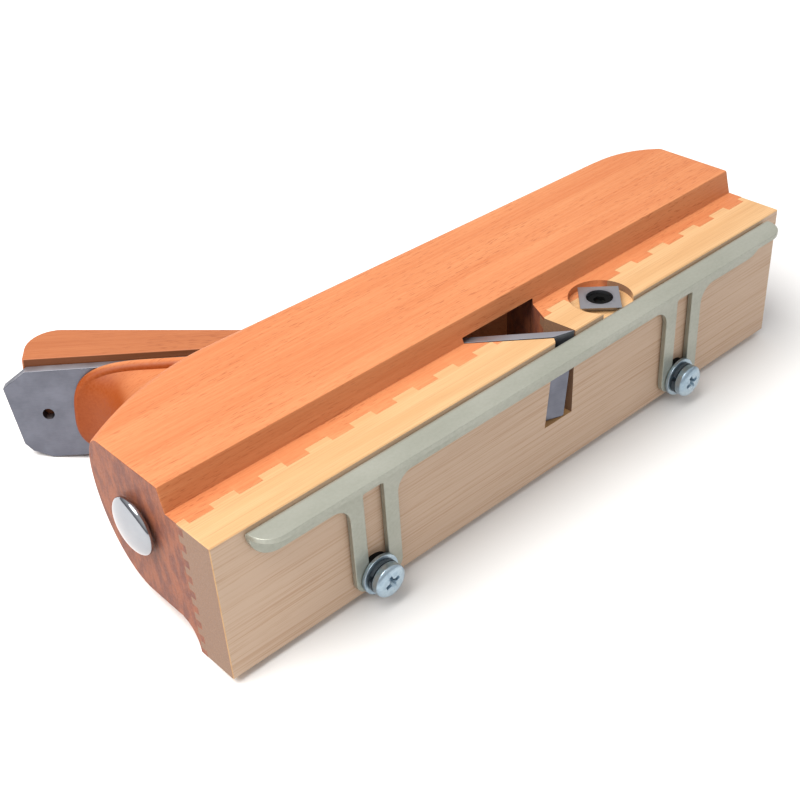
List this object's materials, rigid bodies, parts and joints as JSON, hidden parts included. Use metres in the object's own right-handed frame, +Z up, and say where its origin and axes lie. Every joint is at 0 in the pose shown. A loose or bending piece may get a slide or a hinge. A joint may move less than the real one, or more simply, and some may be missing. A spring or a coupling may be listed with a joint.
{
  "type": "wooden rabbet plane with adjustable fence",
  "caption": "Wooden skew rabbet plane with a pale comb-jointed sole, wedge-held iron, carved horn, square nicker and a slotted metal fence, lying on its side.",
  "frame": {"origin": "centre of the bounding box's bottom, on the surface the tool lies on", "axes": "+X along the plane from heel to toe, +Z up at rest; the tool lies on its plain side, leaning 9.85 degrees about X, so its sole faces mostly -Y and its top mostly +Y"},
  "size_m": [0.2754, 0.1528, 0.0604],
  "materials": {
    "beech": "satin oiled",
    "hornbeam": "planed smooth",
    "iron_steel": "ground",
    "wedge_beech": "satin oiled",
    "button_chrome": "polished",
    "nicker_steel": "ground",
    "black_steel": "black oxide",
    "insert_steel": "dark",
    "fence_zinc": "zinc plated",
    "screw_zinc": "zinc plated"
  },
  "bodies": {
    "plane": {"body": "beech", "sole": "hornbeam", "strike_button": "button_chrome", "nicker_insert": "insert_steel", "screw_insert_heel": "insert_steel", "screw_insert_toe": "insert_steel"},
    "iron": {"iron": "iron_steel"},
    "wedge": {"wedge": "wedge_beech"},
    "fence": {"fence": "fence_zinc"},
    "screw_set_heel": {"fence_screw_heel": "screw_zinc", "flat_washer_heel": "screw_zinc", "spring_washer_heel": "screw_zinc"},
    "screw_set_toe": {"fence_screw_toe": "screw_zinc", "flat_washer_toe": "screw_zinc", "spring_washer_toe": "screw_zinc"},
    "nicker": {"nicker_plate": "nicker_steel"},
    "nicker_fixing": {"nicker_screw": "black_steel"}
  },
  "joints": [
    {"name": "iron_slide", "type": "slide", "parent": "plane", "child": "iron", "axis": [-0.749, 0.6529, -0.1134], "range_m": [0, 0.115]},
    {"name": "wedge_slide", "type": "slide", "parent": "plane", "child": "wedge", "axis": [-0.749, 0.6529, -0.1134], "range_m": [0, 0.08]},
    {"name": "fence_slide", "type": "slide", "parent": "plane", "child": "fence", "axis": [0, -0.1711, -0.9853], "range_m": [0, 0.031]},
    {"name": "fence_screw_heel_turn", "type": "hinge", "parent": "plane", "child": "screw_set_heel", "pos_m": [-0.07375, -0.07237, 0.01127], "axis": [0, -0.9853, 0.1711], "continuous": true},
    {"name": "fence_screw_toe_turn", "type": "hinge", "parent": "plane", "child": "screw_set_toe", "pos_m": [0.07935, -0.07237, 0.01127], "axis": [0, -0.9853, 0.1711], "continuous": true},
    {"name": "nicker_turn", "type": "hinge", "parent": "plane", "child": "nicker", "pos_m": [0.04445, -0.05056, 0.05422], "axis": [0, 0.1711, 0.9853], "continuous": true},
    {"name": "nicker_screw_turn", "type": "hinge", "parent": "plane", "child": "nicker_fixing", "pos_m": [0.04445, -0.05064, 0.05373], "axis": [0, 0.1711, 0.9853], "continuous": true}
  ]
}
